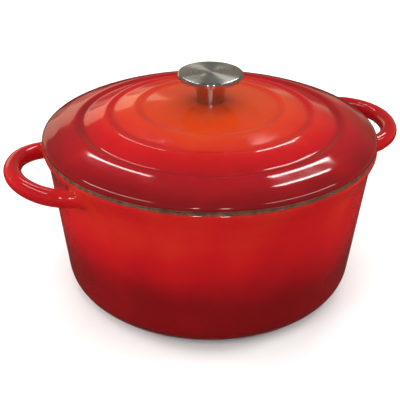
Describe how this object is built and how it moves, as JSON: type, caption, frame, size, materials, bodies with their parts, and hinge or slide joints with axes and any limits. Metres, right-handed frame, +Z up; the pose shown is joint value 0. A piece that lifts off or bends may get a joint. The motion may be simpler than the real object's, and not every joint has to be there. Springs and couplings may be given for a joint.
{
  "type": "dutch oven",
  "caption": "Round enamelled cast iron cooking pot with two loop handles, a stepped domed lid that lifts off, and a flared steel knob held by a screw from below.",
  "frame": {"origin": "on the pot's axis, at the plane of the foot ring that it stands on", "axes": "+Z up along the pot's axis, +X through the middle of one loop handle, -X through the other"},
  "size_m": [0.3264, 0.262, 0.1794],
  "materials": {
    "bare_iron": "bare, ground and oiled iron, dull brown-black",
    "red_enamel": "glossy vitreous enamel graded from orange-red to deep red",
    "sand_enamel": "glossy sand-coloured vitreous enamel",
    "brushed_steel": "circular-brushed stainless steel",
    "polished_steel": "polished stainless steel",
    "brass": "machined brass",
    "screw_steel": "plain machined stainless steel"
  },
  "bodies": {
    "pot": {"pot_casting": "bare_iron", "pot_outer_enamel": "red_enamel", "pot_inner_enamel": "sand_enamel"},
    "lid": {"lid_casting": "bare_iron", "lid_outer_enamel": "red_enamel", "lid_inner_enamel": "sand_enamel", "knob_cap": "brushed_steel", "knob_stem": "polished_steel", "knob_insert": "brass", "knob_screw": "screw_steel", "flat_washer": "screw_steel", "spring_washer": "screw_steel"}
  },
  "joints": [
    {"name": "lid_lift", "type": "slide", "parent": "pot", "child": "lid", "axis": [0, 0, 1], "range_m": [0, 0.15]}
  ]
}
